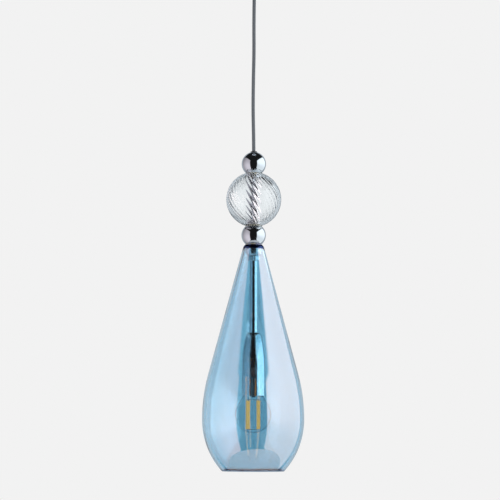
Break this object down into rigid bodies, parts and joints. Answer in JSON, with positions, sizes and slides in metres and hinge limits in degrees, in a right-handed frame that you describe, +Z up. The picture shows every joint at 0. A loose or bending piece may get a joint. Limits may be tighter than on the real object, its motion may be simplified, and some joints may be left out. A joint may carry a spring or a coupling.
{
  "type": "pendant lamp",
  "caption": "Glass pendant lamp: chrome ceiling rose, textile cord, chrome balls around a ribbed glass ball, and an open blue glass drop over a filament bulb.",
  "frame": {"origin": "centre of the bracket face that lies on the ceiling", "axes": "+Z up, away from the lamp and normal to the ceiling; +X along the bracket strap"},
  "size_m": [0.1268, 0.1268, 0.643],
  "materials": {
    "steel": "zinc-plated pressed steel",
    "chrome": "polished chrome plating",
    "cord_textile": "braided dark grey textile",
    "sheath_plastic": "matte inner sheath",
    "live_plastic": "brown core insulation",
    "neutral_plastic": "blue core insulation",
    "block_plastic": "pale moulded plastic",
    "holder_plastic": "black thermoplastic",
    "seal_rubber": "translucent silicone",
    "bush_rubber": "black rubber",
    "brass": "bare turned brass",
    "clear_glass": "clear glass with fine twisted ribs",
    "blue_glass": "blue glass with a thin lustre coat",
    "bulb_clear": "thin clear bulb glass",
    "cap_metal": "rolled bright cap metal",
    "vitrite": "black glass insulator",
    "phosphor": "amber phosphor coat",
    "board": "green circuit board"
  },
  "bodies": {
    "rose": {"ceiling_bracket": "steel", "ceiling_rose": "chrome", "rose_screws": "chrome", "cord_grip": "chrome", "grip_screw": "steel", "grip_washer": "steel", "grip_nut": "brass", "terminal_block": "block_plastic", "terminal_screws": "steel", "block_screw": "steel", "cord_upper": "sheath_plastic", "rose_live_core": "live_plastic", "rose_neutral_core": "neutral_plastic"},
    "cord_bend": {"cord_bend": "cord_textile"},
    "cord": {"cord": "cord_textile"},
    "lamp": {"cord_bush": "bush_rubber", "upper_ball": "chrome", "cord_clamp": "brass", "clamp_screw": "steel", "threaded_rod": "steel", "spacer_sleeve": "chrome", "glass_ball": "clear_glass", "upper_glass_seal": "seal_rubber", "lower_glass_seal": "seal_rubber", "lower_ball": "chrome", "shade_gasket": "seal_rubber", "glass_shade": "blue_glass", "cup_gasket": "seal_rubber", "neck_cup": "chrome", "coupling_nut": "chrome", "drop_tube": "chrome", "holder_cover": "chrome", "cover_locknut": "brass", "holder_dome": "holder_plastic", "holder_socket": "holder_plastic", "thread_shell": "brass", "centre_contact": "brass", "holder_terminals": "brass", "holder_terminal_screws": "steel", "lamp_live_core": "live_plastic", "lamp_neutral_core": "neutral_plastic"},
    "bulb": {"bulb_glass": "bulb_clear", "bulb_cap": "cap_metal", "bulb_insulator": "vitrite", "bulb_contact": "brass", "bulb_stem": "bulb_clear", "bulb_filaments": "phosphor", "filament_wires": "steel", "driver_board": "board"}
  },
  "joints": [
    {"name": "swing_sideways", "type": "hinge", "parent": "rose", "child": "cord_bend", "pos_m": [0, 0, -0.0403], "axis": [0, 1, 0], "range_deg": [-25, 25]},
    {"name": "swing_forward", "type": "hinge", "parent": "cord_bend", "child": "cord", "pos_m": [0, 0, -0.0403], "axis": [1, 0, 0], "range_deg": [-25, 25]},
    {"name": "cord_twist", "type": "hinge", "parent": "cord", "child": "lamp", "pos_m": [0, 0, -0.2442], "axis": [0, 0, 1], "range_deg": [-180, 180]},
    {"name": "bulb_removal", "type": "slide", "parent": "lamp", "child": "bulb", "axis": [0, 0, -1], "range_m": [0, 0.13]}
  ]
}
